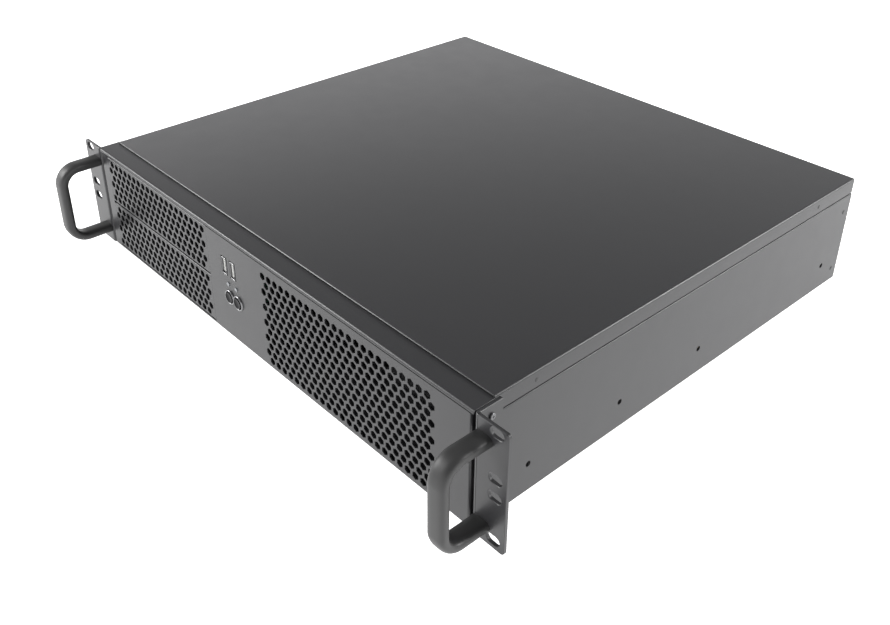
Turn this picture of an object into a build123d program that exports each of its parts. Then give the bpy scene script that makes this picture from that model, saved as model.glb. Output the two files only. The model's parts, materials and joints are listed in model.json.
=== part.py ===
"""An empty 2U rackmount server case: folded sheet steel, perforated front, handles on the rack ears.

The origin is the middle of the underside. X runs to the right seen from the front, Y runs to the back,
Z runs up. All sizes are millimetres.
"""
import os

from build123d import *

os.makedirs("parts", exist_ok=True)

# Body and sheet
body_width = 430.0
body_depth = 400.0
body_height = 88.0
sheet = 1.2
fold_radius = 1.5
slip = 0.3
seam = 0.5

# Rack standard
rack_width = 482.6
slot_columns = 465.1
slot_length = 10.5
slot_height = 6.6
slot_levels = (6.35, 38.1, 50.8, 82.55)

# Ears and handles
ear_sheet = 2.5
ear_fold = 3.0
ear_leg = 20.0
ear_corner = 2.5
handle_x = 223.0
handle_reach = 32.5
handle_pitch = 62.0
handle_level = 43.5
handle_bend = 14.0
handle_wide = 14.4
handle_thick = 7.8
handle_sides = 8

# Cover
cover_flange = 12.0
strip_depth = 16.0
rear_lip = 8.0
lug = 3.6
lug_inset = 49.5
lug_reach = 3.0
cover_travel = 20.0

# Walls of the tray
ledge_lip = 6.0
front_gap = 4.0
tray_lip = 4.0
rail_hole = 4.0
rail_level = 21.5
rail_insets = (46.0, 130.0, 214.0)
rail_rear_inset = 26.0
step_radius = 0.8

# Front plate, bays and grille
plate_side_gap = 1.6
plate_return = 15.0
plate_bottom = 1.8
bay_sill = 1.2
brace_depth = 28.0
brace_lip = 2.0
bay_inset = 11.5
bay_width = 148.0
bay_fit = 0.4
bay_return = 8.0
bay_seam = 1.3
grille_pitch = 12.8
grille_web = 2.8
fan_grille_gap = 68.5
fan_grille_inset = 29.0
fan_grille_margin = 6.5
bay_grille_margin = 2.8

# Controls, each set from the right edge of the bays
usb_insets = (20.9, 31.3)
usb_level = 61.0
usb_width = 5.8
usb_height = 13.2
usb_shell = 0.4
usb_tongue = 1.9
usb_proud = 0.2
usb_back = 2.0
tongue_inset = 1.0
tongue_gap = 0.2
led_insets = (24.1, 34.1)
led_level = 47.2
led_size = 3.0
led_sides = 12
button_insets = (24.6, 35.2)
button_level = 36.5
button_size = 8.4
button_proud = 1.6
button_travel = 1.0
button_collar = 0.8
switch_size = 6.0
switch_depth = 4.0
stem = 3.2
lamp_proud = 0.6
board_y = 15.0
board_sheet = 1.6
board_margin = 5.0
board_inset = 47.5
post_size = 5.0
post_inset = 3.5

# Inside
cage_gap = 2.0
cage_depth = 172.0
cage_sheet = 1.0
cage_foot = 6.5
cage_slot = 3.6
cage_slot_length = 14.0
fan_size = 80.0
fan_bore = 76.0
fan_bore_sides = 24
fan_depth = 25.4
fan_pitch = 84.0
fan_foot = 12.0
fan_flange = 8.0
beam_width = 22.0
beam_height = 9.0
beam_inset = 196.0
standoff_height = 6.4
standoff_size = 5.5
standoff_bore = 2.6
board_columns = (0.0, 157.48, 203.2)
board_rows = (0.0, 154.94, 227.33)
board_side_inset = 11.0
board_rear_inset = 11.4
shelf_height = 30.0
shelf_length = 80.0
shelf_inset = 16.0
shelf_foot = 14.0

# Rear wall
rear_return = 12.0
io_width = 158.75
io_height = 44.45
io_inset = 9.0
io_bottom = 6.5
slot_count = 4
slot_pitch = 20.32
slot_width = 13.0
slot_bottom = 9.0
slot_top = 66.0
first_slot_gap = 17.25
strip_width = 18.4
strip_sheet = 1.0
strip_lap = 4.0
supply_size = (125.0, 63.5)
supply_window = (103.0, 56.0)
supply_holes = (113.0, 51.5)
supply_hole = 3.8
supply_gap = 14.5
vent_width = 4.0
vent_height = 16.0
vent_pitch = 12.0
vent_level = 65.0

# Places worked out from the sizes above
half = body_width / 2
front_y = -body_depth / 2
rear_y = body_depth / 2
deck_z = body_height - sheet
rest_z = deck_z - slip
ledge_z = rest_z - sheet
flange_z = body_height - cover_flange
flange_x = half - slip
ledge_x = flange_x - sheet - slip
wall_front = front_y + front_gap
cover_front = front_y + strip_depth
lug_level = (flange_z + deck_z) / 2
plate_x = half - plate_side_gap
plate_top = rest_z - brace_lip - bay_seam / 2
ear_top = rest_z
bay_bottom = plate_bottom + bay_sill
bay_mid = (bay_bottom + plate_top) / 2
ear_tip = rack_width / 2
bay_left = bay_inset - half
bay_right = bay_left + bay_width
usb_x = [bay_right + inset for inset in usb_insets]
led_x = [bay_right + inset for inset in led_insets]
button_x = [bay_right + inset for inset in button_insets]
fan_grille_left = bay_right + fan_grille_gap
fan_grille_right = half - fan_grille_inset
lug_y = (front_y + lug_inset, rear_y - lug_inset)


def at_y(y):
    """A plane that faces the front, with X to the right and Z upwards."""
    return Plane(origin=(0, y, 0), x_dir=(1, 0, 0), z_dir=(0, -1, 0))


def at_x(x):
    """A plane that faces right, with Y to the right and Z upwards."""
    return Plane(origin=(x, 0, 0), x_dir=(0, 1, 0), z_dir=(1, 0, 0))


def folded(plane, points, thickness=sheet, radius=fold_radius):
    """A folded sheet seen end-on: its outer line, rounded at the folds, with its thickness to the left."""
    with BuildSketch(plane) as profile:
        with BuildLine():
            FilletPolyline(*points, radius=radius)
            offset(amount=thickness, side=Side.LEFT)
        make_face()
    return profile.sketch


def honeycomb(plane, left, right, bottom, top, pitch=grille_pitch):
    """Staggered rows of hexagons, as many as the field has room for, centred in it."""
    row_pitch = pitch * 3**0.5 / 2
    radius = (pitch - grille_web) / 3**0.5
    columns = int((right - left - pitch / 2 - 2 * radius) // pitch) + 1
    rows = int((top - bottom - 2 * radius) // row_pitch) + 1
    middle_x, middle_z = (left + right) / 2, (bottom + top) / 2
    first_row = middle_z + (rows - 1) * row_pitch / 2
    with BuildSketch(plane) as holes:
        for row in range(rows):
            shift = pitch / 4 if row % 2 else -pitch / 4
            with Locations((middle_x + shift, first_row - row * row_pitch)):
                with GridLocations(pitch, 1, columns, 1):
                    RegularPolygon(radius=radius, side_count=6, rotation=30)
    return holes.sketch


def round_holes(plane, places, diameter):
    """Round holes of one size at the places given on a plane."""
    with BuildSketch(plane) as holes:
        with Locations(*places):
            Circle(diameter / 2)
    return holes.sketch


# Tray: floor and side walls, stepped in at the top where the cover's flanges lie flush
step_z = flange_z - seam
shoulder_z = step_z - sheet - slip
straight_wall = [(-(half - ledge_lip), ledge_z), (-half, ledge_z), (-half, 0)]
straight_wall += [(-x, z) for x, z in reversed(straight_wall)]
stepped_wall = [(-(ledge_x - ledge_lip), ledge_z), (-ledge_x, ledge_z), (-ledge_x, step_z)]
stepped_wall += [(-half, step_z), (-half, 0)]
stepped_wall += [(-x, z) for x, z in reversed(stepped_wall)]
lip_line = [(front_y + sheet, tray_lip), (front_y + sheet, 0), (wall_front + fold_radius, 0)]

with BuildPart() as base_pan:
    extrude(folded(at_y(wall_front), straight_wall), amount=-(cover_front - wall_front))
    extrude(folded(at_y(cover_front), stepped_wall, radius=step_radius), amount=-(rear_y - cover_front))
    lip_x = plate_x - sheet - slip
    extrude(folded(at_x(-lip_x), lip_line), amount=2 * lip_x)
    with Locations(((bay_left + bay_right) / 2, front_y, bay_bottom)):
        Box(
            bay_right - bay_left, 2 * front_gap, body_height,
            align=(Align.CENTER, Align.CENTER, Align.MIN), mode=Mode.SUBTRACT,
        )
    rail_places = [(front_y + inset, rail_level) for inset in rail_insets]
    rail_places.append((rear_y - rail_rear_inset, rail_level))
    extrude(round_holes(at_x(half), rail_places, rail_hole), amount=-body_width, mode=Mode.SUBTRACT)
    with BuildSketch(at_x(half)) as lug_slots:
        for y in lug_y:
            slot_end = y + cover_travel
            with Locations((slot_end - cover_travel / 2, lug_level)):
                Rectangle(cover_travel + lug + 2 * slip, lug + 2 * slip)
            with Locations((slot_end, lug_level)):
                Rectangle(lug + 2 * slip, body_height, align=(Align.CENTER, Align.MIN))
    extrude(lug_slots.sketch, amount=-body_width, mode=Mode.SUBTRACT)
    with Locations((0, rear_y, ledge_z)):
        Box(body_width, 2 * (sheet + slip), 2 * sheet + 2 * slip, mode=Mode.SUBTRACT)
base_pan.part.label = "base_pan"
export_step(base_pan.part, "parts/base_pan.step")

# Front brace: the strip across the top behind the front plate, on which the cover's front edge rests
brace_line = [(front_y + brace_depth, rest_z), (front_y, rest_z), (front_y, rest_z - brace_lip)]
with BuildPart() as front_brace:
    extrude(folded(at_x(-half), brace_line), amount=body_width)
    with Locations((half, front_y + brace_depth, rest_z), (-half, front_y + brace_depth, rest_z)):
        Box(
            2 * (half - ledge_x + ledge_lip + slip),
            2 * (brace_depth - strip_depth + slip),
            4 * sheet,
            mode=Mode.SUBTRACT,
        )
front_brace.part.label = "front_brace"
export_step(front_brace.part, "parts/front_brace.step")

# Front plate: folded back at both ends, open at the left for the bays, perforated at the right for the fans
return_y = front_y + plate_return
plate_line = [(-plate_x, return_y), (-plate_x, front_y), (plate_x, front_y), (plate_x, return_y)]

with BuildPart() as front_panel:
    extrude(folded(Plane.XY.offset(plate_bottom), plate_line), amount=plate_top - plate_bottom)
    with Locations(((bay_left + bay_right) / 2, front_y, bay_bottom)):
        Box(
            bay_right - bay_left, 4 * sheet, body_height,
            align=(Align.CENTER, Align.CENTER, Align.MIN), mode=Mode.SUBTRACT,
        )
    grille = honeycomb(
        at_y(front_y),
        fan_grille_left,
        fan_grille_right,
        plate_bottom + fan_grille_margin / 2,
        plate_top - fan_grille_margin,
    )
    extrude(grille, amount=-2 * sheet, mode=Mode.SUBTRACT)
    with BuildSketch(at_y(front_y)) as usb_windows:
        with Locations(*[(x, usb_level) for x in usb_x]):
            Rectangle(usb_width + slip, usb_height + slip)
    extrude(usb_windows.sketch, amount=-2 * sheet, mode=Mode.SUBTRACT)
    led_places = [(x, led_level) for x in led_x]
    with BuildSketch(at_y(front_y)) as led_holes:
        with Locations(*led_places):
            RegularPolygon((led_size + slip) / 2, led_sides)
    extrude(led_holes.sketch, amount=-2 * sheet, mode=Mode.SUBTRACT)
    button_places = [(x, button_level) for x in button_x]
    button_hole = button_size + 2 * slip
    extrude(round_holes(at_y(front_y), button_places, button_hole), amount=-2 * sheet, mode=Mode.SUBTRACT)
front_panel.part.label = "front_panel"
export_step(front_panel.part, "parts/front_panel.step")


def bay_cover(bottom, top):
    """A perforated cover for one bay, folded back along its top and bottom edges."""
    line = [(front_y + bay_return, bottom), (front_y, bottom), (front_y, top), (front_y + bay_return, top)]
    left, right = bay_left + bay_fit, bay_right - bay_fit
    with BuildPart() as cover:
        extrude(folded(at_x(left), line[::-1]), amount=right - left)
        field = honeycomb(
            at_y(front_y), left + bay_grille_margin, right - bay_grille_margin,
            bottom + bay_grille_margin, top - bay_grille_margin,
        )
        extrude(field, amount=-2 * sheet, mode=Mode.SUBTRACT)
    return cover


bay_cover_lower = bay_cover(bay_bottom + bay_fit, bay_mid - bay_seam / 2)
bay_cover_lower.part.label = "bay_cover_lower"
export_step(bay_cover_lower.part, "parts/bay_cover_lower.step")
bay_cover_upper = bay_cover(bay_mid + bay_seam / 2, plate_top - bay_fit)
bay_cover_upper.part.label = "bay_cover_upper"
export_step(bay_cover_upper.part, "parts/bay_cover_upper.step")

# Rack ears: an angle with four slots, screwed to the side wall
handle_levels = (handle_level - handle_pitch / 2, handle_level + handle_pitch / 2)
ear_line = [(half, front_y + ear_leg), (half, front_y), (ear_tip, front_y)]

with BuildPart() as ear_right:
    extrude(folded(Plane.XY, ear_line, ear_sheet, ear_fold), amount=ear_top)
    fillet(ear_right.edges().filter_by(Axis.Y).group_by(Axis.X)[-1], ear_corner)
    with BuildSketch(at_y(front_y)) as rack_slots:
        with Locations(*[(slot_columns / 2, level) for level in slot_levels]):
            SlotOverall(slot_length, slot_height)
    extrude(rack_slots.sketch, amount=-ear_sheet, mode=Mode.SUBTRACT)
ear_right.part.label = "ear_right"
export_step(ear_right.part, "parts/ear_right.step")
with BuildPart() as ear_left:
    mirror(ear_right.part, about=Plane.YZ)
ear_left.part.label = "ear_left"
export_step(ear_left.part, "parts/ear_left.step")

# Handles: a flattened bar with softened edges, bent to a U and screwed on from behind the ear
low, high = handle_levels
reach_y = front_y - handle_reach
with BuildPart() as handles:
    for side in (-1, 1):
        with BuildLine(at_x(side * handle_x)):
            FilletPolyline(
                (front_y, high), (reach_y, high), (reach_y, low), (front_y, low), radius=handle_bend
            )
        with BuildSketch(at_y(front_y)):
            spread = (handle_wide - handle_thick) / 2
            with Locations((side * handle_x - spread, high), (side * handle_x + spread, high)):
                RegularPolygon(handle_thick / 2, handle_sides, False, 180 / handle_sides)
            make_hull()
        sweep()
handles.part.label = "handles"
export_step(handles.part, "parts/handles.step")

# Top cover: a wide channel with a lip down the back, and four studs that run in the tray's slots
lip_y = rear_y + slip
cover_line = [(flange_x, flange_z), (flange_x, body_height)]
cover_line += [(-flange_x, body_height), (-flange_x, flange_z)]
with BuildPart() as top_cover:
    extrude(folded(at_y(cover_front), cover_line), amount=-(lip_y + sheet - cover_front))
    with BuildSketch(at_y(lip_y + sheet)):
        with Locations((0, deck_z)):
            Rectangle(2 * (flange_x - sheet), rear_lip, align=(Align.CENTER, Align.MAX))
    extrude(amount=sheet)
top_cover.part.label = "top_cover"
export_step(top_cover.part, "parts/top_cover.step")

with BuildPart() as cover_lugs:
    for side in (-1, 1):
        lug_x = side * (flange_x - sheet)
        with BuildSketch(Plane(origin=(lug_x, 0, 0), x_dir=(0, 1, 0), z_dir=(side, 0, 0))):
            with Locations(*[(y, side * lug_level) for y in lug_y]):
                Rectangle(lug, lug)
        extrude(amount=-lug_reach)
cover_lugs.part.label = "cover_lugs"
export_step(cover_lugs.part, "parts/cover_lugs.step")

# Rear wall: windows for the board's sockets and the power supply, slots for cards, vents
rear_x = half - sheet - slip
inner_x = ledge_x - sheet - slip
io_right = half - io_inset
first_slot_x = io_right - io_width - first_slot_gap
slot_x = [first_slot_x - slot_pitch * number for number in range(slot_count)]
supply_x = supply_size[0] / 2 + supply_gap - half
supply_level = sheet + slip + supply_size[1] / 2
rear_line = [(rear_x, rear_y - rear_return), (rear_x, rear_y)]
rear_line += [(-rear_x, rear_y), (-rear_x, rear_y - rear_return)]
top_line = [(rear_y, shoulder_z), (rear_y, rest_z), (rear_y - rear_return, rest_z)]
with BuildPart() as rear_panel:
    extrude(folded(Plane.XY.offset(sheet + slip), rear_line), amount=shoulder_z - sheet - slip)
    extrude(folded(at_x(-inner_x), top_line), amount=2 * inner_x)
    with BuildSketch(at_y(rear_y)) as windows:
        with Locations((io_right - io_width / 2, io_bottom + io_height / 2)):
            Rectangle(io_width, io_height)
        with Locations((supply_x, supply_level)):
            Rectangle(*supply_window)
            with GridLocations(*supply_holes, 2, 2):
                Circle(supply_hole / 2)
        with Locations(*[(x, (slot_bottom + slot_top) / 2) for x in slot_x]):
            Rectangle(slot_width, slot_top - slot_bottom)
        with Locations((io_right - io_width / 2, vent_level)):
            with GridLocations(vent_pitch, 1, int(io_width // vent_pitch), 1):
                Rectangle(vent_width, vent_height)
    extrude(windows.sketch, amount=2 * sheet, both=True, mode=Mode.SUBTRACT)
rear_panel.part.label = "rear_panel"
export_step(rear_panel.part, "parts/rear_panel.step")

# Card slot covers, each a strip inside the rear wall
strip_y = rear_y - sheet
for number, x in enumerate(slot_x, start=1):
    with BuildPart() as slot_cover:
        with BuildSketch(at_y(strip_y)):
            with Locations((x, slot_bottom - strip_lap)):
                strip_height = slot_top - slot_bottom + 3 * strip_lap
                Rectangle(strip_width, strip_height, align=(Align.CENTER, Align.MIN))
        extrude(amount=strip_sheet)
    slot_cover.part.label = f"slot_cover_{number}"
    export_step(slot_cover.part, f"parts/slot_cover_{number}.step")

# Drive cage: a hat-shaped channel over the two bays
cage_y = front_y + brace_depth + cage_gap
cage_left = bay_left - bay_fit
cage_right = bay_right + bay_fit
cage_line = [(cage_left - cage_foot, sheet), (cage_left, sheet), (cage_left, ledge_z - slip)]
cage_line += [(cage_right, ledge_z - slip), (cage_right, sheet), (cage_right + cage_foot, sheet)]
bay_height = (ledge_z - slip - cage_sheet - sheet) / 2
with BuildPart() as drive_cage:
    extrude(folded(at_y(cage_y), cage_line, cage_sheet), amount=-cage_depth)
    with BuildSketch(at_x(cage_right)) as cage_slots:
        for level in (sheet + bay_height / 2, sheet + 1.5 * bay_height):
            with Locations((cage_y + cage_depth / 2, level)):
                with GridLocations(cage_depth / 2, 1, 2, 1):
                    Rectangle(cage_slot_length, cage_slot)
    extrude(cage_slots.sketch, amount=cage_left - cage_right, both=True, mode=Mode.SUBTRACT)
drive_cage.part.label = "drive_cage"
export_step(drive_cage.part, "parts/drive_cage.step")

# Fan bracket: a plate behind the right grille with room for two fans in front of it
fan_y = front_y + brace_depth + fan_depth + slip
fan_level = sheet + slip + fan_size / 2
fan_count = int((fan_grille_right - fan_grille_left) // fan_pitch)
fan_middle = (fan_grille_left + fan_grille_right) / 2
fan_spread = fan_count * fan_pitch + fan_pitch - fan_size
fan_line = [(fan_y + fan_flange, ledge_z - slip), (fan_y, ledge_z - slip)]
fan_line += [(fan_y, sheet), (fan_y + fan_foot, sheet)]
with BuildPart() as fan_bracket:
    extrude(folded(at_x(fan_middle - fan_spread / 2), fan_line), amount=fan_spread)
    with BuildSketch(at_y(fan_y)) as fan_bores:
        with Locations((fan_middle, fan_level)):
            with GridLocations(fan_pitch, 1, fan_count, 1):
                RegularPolygon(fan_bore / 2, fan_bore_sides)
    extrude(fan_bores.sketch, amount=-2 * sheet, mode=Mode.SUBTRACT)
fan_bracket.part.label = "fan_bracket"
export_step(fan_bracket.part, "parts/fan_bracket.step")

# Cross beam: a channel from wall to wall under the cover, behind the cage
beam_y = front_y + beam_inset + brace_depth
beam_top = ledge_z - sheet
beam_line = [(beam_y, beam_top - beam_height), (beam_y, beam_top)]
beam_line += [(beam_y + beam_width, beam_top), (beam_y + beam_width, beam_top - beam_height)]
with BuildPart() as cross_beam:
    extrude(folded(at_x(-inner_x), beam_line[::-1]), amount=2 * inner_x)
cross_beam.part.label = "cross_beam"
export_step(cross_beam.part, "parts/cross_beam.step")

# Board standoffs: hexagonal pillars on the floor, one bore each
corner_x = half - board_side_inset
corner_y = rear_y - board_rear_inset
pillar_places = [(corner_x - dx, corner_y - dy) for dx in board_columns for dy in board_rows]
pillar_places.remove((corner_x - board_columns[1], corner_y - board_rows[0]))
with BuildPart() as standoffs:
    with BuildSketch(Plane.XY.offset(sheet)):
        with Locations(*pillar_places):
            RegularPolygon(standoff_size / 2, 6, major_radius=False)
            Circle(standoff_bore / 2, mode=Mode.SUBTRACT)
    extrude(amount=standoff_height)
standoffs.part.label = "standoffs"
export_step(standoffs.part, "parts/standoffs.step")

# Power supply shelf: an angle that the supply rests against
shelf_x = supply_x + supply_size[0] / 2 + slip
shelf_y = rear_y - shelf_inset - shelf_length
shelf_line = [(shelf_x + shelf_foot, sheet), (shelf_x, sheet), (shelf_x, sheet + shelf_height)]
with BuildPart() as power_shelf:
    extrude(folded(at_y(shelf_y), shelf_line[::-1]), amount=-shelf_length)
power_shelf.part.label = "power_shelf"
export_step(power_shelf.part, "parts/power_shelf.step")

# Control board behind the plate, with the sockets, the switches and the light pipes on it
board_front = front_y + board_y
board_low = button_level - board_margin - button_size / 2
board_high = usb_level + usb_height / 2 + board_margin / 2
board_left = usb_x[0] - usb_width / 2 - 1.5 * board_margin
board_right = bay_right + board_inset
with BuildPart() as control_board:
    with BuildSketch(at_y(board_front)):
        with Locations(((board_left + board_right) / 2, (board_low + board_high) / 2)):
            Rectangle(board_right - board_left, board_high - board_low)
    extrude(amount=-board_sheet)
control_board.part.label = "control_board"
export_step(control_board.part, "parts/control_board.step")

post_right = board_right - post_inset
post_high = board_high - post_inset
post_places = [(post_right, board_low + post_inset), (post_right, post_high), (board_left + post_inset, post_high)]
with BuildPart() as board_posts:
    with BuildSketch(at_y(board_front)):
        with Locations(*post_places):
            RegularPolygon(post_size / 2, 6, major_radius=False)
    extrude(amount=board_y - sheet)
board_posts.part.label = "board_posts"
export_step(board_posts.part, "parts/board_posts.step")

for side, x in zip(("left", "right"), usb_x):
    with BuildPart() as usb_port:
        with BuildSketch(at_y(front_y - usb_proud)):
            with Locations((x, usb_level)):
                Rectangle(usb_width, usb_height)
                Rectangle(usb_width - 2 * usb_shell, usb_height - 2 * usb_shell, mode=Mode.SUBTRACT)
        extrude(amount=-(board_y + usb_proud))
        with BuildSketch(at_y(board_front - usb_back)):
            with Locations((x, usb_level)):
                Rectangle(usb_width - 2 * usb_shell, usb_height - 2 * usb_shell)
        extrude(amount=-usb_back)
    usb_port.part.label = f"usb_port_{side}"
    export_step(usb_port.part, f"parts/usb_port_{side}.step")
    with BuildPart() as usb_tongue_piece:
        with BuildSketch(at_y(front_y + tongue_inset)):
            with Locations((x - usb_width / 2 + usb_shell + tongue_gap + usb_tongue / 2, usb_level)):
                Rectangle(usb_tongue, usb_height - 2 * usb_shell - tongue_inset)
        extrude(amount=-(board_y - usb_back - tongue_inset))
    usb_tongue_piece.part.label = f"usb_tongue_{side}"
    export_step(usb_tongue_piece.part, f"parts/usb_tongue_{side}.step")

with BuildPart() as lamps:
    with BuildSketch(at_y(board_front)):
        with Locations(*led_places):
            RegularPolygon(led_size / 2, led_sides)
    extrude(amount=board_y + lamp_proud)
lamps.part.label = "lamps"
export_step(lamps.part, "parts/lamps.step")

with BuildPart() as switches:
    with BuildSketch(at_y(board_front)):
        with Locations(*button_places):
            Rectangle(switch_size, switch_size)
            Rectangle(stem + 2 * slip, stem + 2 * slip, mode=Mode.SUBTRACT)
    extrude(amount=switch_depth)
switches.part.label = "switches"
export_step(switches.part, "parts/switches.step")

collar_back = front_y + sheet + slip + button_collar
stem_end = board_front - button_travel - slip
for name, x in zip(("power", "reset"), button_x):
    with BuildPart() as button:
        with BuildSketch(at_y(collar_back)):
            with Locations((x, button_level)):
                Circle(button_size / 2)
        extrude(amount=collar_back - front_y + button_proud)
        with BuildSketch(at_y(collar_back)):
            with Locations((x, button_level)):
                Rectangle(button_size + 2 * button_collar, button_size + 2 * button_collar)
        extrude(amount=button_collar)
        with BuildSketch(at_y(stem_end)):
            with Locations((x, button_level)):
                Rectangle(stem, stem)
        extrude(amount=stem_end - collar_back)
    button.part.label = f"{name}_button"
    export_step(button.part, f"parts/{name}_button.step")
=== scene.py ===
"""An empty rackmount server case in folded black sheet steel, dressed for a pale studio.

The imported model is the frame. Sheets, bends, grilles, handles and small fasteners are surfaces worked out
with numpy around it, in metres: X to the right seen from the front, Y to the back, Z up.
"""

import json
import math

import bpy
import numpy as np
from mathutils import Matrix, Vector
from mathutils.geometry import delaunay_2d_cdt


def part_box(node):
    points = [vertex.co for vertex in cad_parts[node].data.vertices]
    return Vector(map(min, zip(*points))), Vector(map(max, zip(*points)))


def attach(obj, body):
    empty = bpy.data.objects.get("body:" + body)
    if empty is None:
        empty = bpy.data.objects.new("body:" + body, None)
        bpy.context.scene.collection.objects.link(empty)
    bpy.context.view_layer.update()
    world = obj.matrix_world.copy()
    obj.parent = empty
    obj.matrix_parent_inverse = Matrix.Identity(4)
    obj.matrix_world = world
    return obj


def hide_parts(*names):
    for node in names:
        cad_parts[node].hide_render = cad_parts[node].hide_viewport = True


bl_info = {
    "name": "Rack Case Dresser",
    "version": (1, 0, 0),
    "blender": (4, 5, 0),
    "location": "3D View > Sidebar > Rack Case",
    "description": "Dresses an empty rackmount server case with its grilles, bends, handles and finishes",
    "category": "Object",
}

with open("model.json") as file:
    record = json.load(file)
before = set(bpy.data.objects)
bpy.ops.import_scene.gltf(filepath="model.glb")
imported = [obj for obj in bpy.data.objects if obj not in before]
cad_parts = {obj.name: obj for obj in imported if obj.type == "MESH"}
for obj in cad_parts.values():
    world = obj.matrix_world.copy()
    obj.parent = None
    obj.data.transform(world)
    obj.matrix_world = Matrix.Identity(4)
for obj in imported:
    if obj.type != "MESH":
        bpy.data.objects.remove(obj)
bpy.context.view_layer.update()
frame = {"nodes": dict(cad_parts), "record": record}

# Sheet metal
SHEET = 0.0012
EDGE = 0.00016
BEND = 0.0015
CASE_BODY = "case"
COVER_BODY = "cover"
AXIS_X = np.array((1.0, 0.0, 0.0))
AXIS_Y = np.array((0.0, 1.0, 0.0))
AXIS_Z = np.array((0.0, 0.0, 1.0))


def span(node):
    """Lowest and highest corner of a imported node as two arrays."""
    low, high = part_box(node)
    return np.array(low), np.array(high)


PLATE_LOW, PLATE_HIGH = span("front_panel")
STRIP_LOW, STRIP_HIGH = span("front_brace")
COVER_LOW, COVER_HIGH = span("top_cover")
PAN_LOW, PAN_HIGH = span("base_pan")
EAR_LOW, EAR_HIGH = span("ear_right")
BAY_LOW, BAY_HIGH = span("bay_cover_lower")
UPPER_LOW, UPPER_HIGH = span("bay_cover_upper")
FRONT_Y = float(PLATE_LOW[1])
REAR_Y = float(PAN_HIGH[1])

# Ears
EAR_SHEET = 0.0025
EAR_BEND = 0.003
EAR_EDGE = 0.0003

HANDLE_HALF_WIDTH = 0.0072

# Controls
BUTTON_RADIUS = 0.0042
BUTTON_STEM = 0.0016
SOCKET_WALL = 0.0004
SOCKET_GAP = 0.0007
LAMP_RADIUS = 0.0015

# Small fasteners
LIP_LEVEL = 0.0822
LIP_SCREWS = (-0.19, 0.0, 0.19)
FLANGE_RIVET_LEVEL = 0.0815
SIDE_RIVET_Y = 0.193
SIDE_RIVET_LEVELS = (0.0616, 0.0113)
EAR_SCREW_Y = -0.1886
EAR_SCREW_LEVELS = (0.0788, 0.0445, 0.0102)
SLOT_COVERS = 4

# Fields of holes: place of the first hole, then columns and rows
RIGHT_FIELD_START = (0.0144, 0.0753)
RIGHT_FIELD = (24, 12)
BAY_FIELD_START = -0.1962
BAY_FIELD = (20, 6)
BAY_BEND = 0.0012


class CaseSizes(bpy.types.PropertyGroup):
    """Sizes of the case's visible details."""

    grille_pitch: bpy.props.FloatProperty(
        name="Grille pitch", description="Distance between neighbouring holes in a row", default=0.00711,
        min=0.003, max=0.02, unit="LENGTH",
    )
    grille_row: bpy.props.FloatProperty(
        name="Row pitch", description="Distance between rows of holes", default=0.00616, min=0.003, max=0.02,
        unit="LENGTH",
    )
    grille_hole: bpy.props.FloatProperty(
        name="Hole", description="Size of a grille hole across its flats", default=0.0051, min=0.001,
        max=0.018, unit="LENGTH",
    )
    handle_width: bpy.props.FloatProperty(
        name="Handle width", description="Width of the handle's bar seen from the front", default=0.0134,
        min=0.005, max=0.03, unit="LENGTH",
    )
    handle_thickness: bpy.props.FloatProperty(
        name="Handle thickness", description="Thickness of the handle's bar seen from the side",
        default=0.0075, min=0.003, max=0.02, unit="LENGTH",
    )
    handle_reach: bpy.props.FloatProperty(
        name="Handle reach", description="Distance from the ear to the middle of the bar", default=0.0323,
        min=0.02, max=0.06, unit="LENGTH",
    )
    handle_spacing: bpy.props.FloatProperty(
        name="Handle spacing", description="Distance between the handle's two legs", default=0.0612,
        min=0.03, max=0.2, unit="LENGTH",
    )
    handle_bend: bpy.props.FloatProperty(
        name="Handle bend", description="Radius at the middle of the bar where it bends", default=0.0135,
        min=0.005, max=0.03, unit="LENGTH",
    )


class CaseColours(bpy.types.PropertyGroup):
    """Colours and gloss of the finishes."""

    coat: bpy.props.FloatVectorProperty(
        name="Powder coat", description="Colour of the textured coat on the sheet metal", subtype="COLOR",
        size=3, default=(0.020, 0.020, 0.0215), min=0.0, max=1.0,
    )
    coat_roughness: bpy.props.FloatProperty(
        name="Coat roughness", description="Roughness of the textured coat", default=0.37, min=0.0, max=1.0,
        subtype="FACTOR",
    )
    handle: bpy.props.FloatVectorProperty(
        name="Handle paint", description="Colour of the smooth paint on the handles", subtype="COLOR",
        size=3, default=(0.004, 0.004, 0.0045), min=0.0, max=1.0,
    )
    handle_roughness: bpy.props.FloatProperty(
        name="Handle roughness", description="Roughness of the handles' paint", default=0.19, min=0.0,
        max=1.0, subtype="FACTOR",
    )


class StudioLight(bpy.types.PropertyGroup):
    """Strengths of the studio's lights."""

    sky: bpy.props.FloatProperty(
        name="Surround", description="Strength of the white surround", default=1.6, min=0.0, max=10.0,
    )
    floor: bpy.props.FloatProperty(
        name="Floor glow", description="Strength of the light table under the case", default=1.0, min=0.0,
        max=10.0,
    )
    side: bpy.props.FloatProperty(
        name="Side panel", description="Power of the soft panel behind the case on the right", default=52.0,
        min=0.0, max=500.0, unit="POWER",
    )
    front: bpy.props.FloatProperty(
        name="Front panel", description="Power of the soft panel in front of the case on the left", default=50.0,
        min=0.0, max=500.0, unit="POWER",
    )


# Outlines


def arc(centre, radius, start, end, steps):
    """Points on a circle's arc: centre plus radius times (cos a, sin a), with a in degrees from start to end."""
    angle = np.radians(np.linspace(start, end, steps + 1))
    return np.stack((centre[0] + radius * np.cos(angle), centre[1] + radius * np.sin(angle)), 1)


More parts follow.
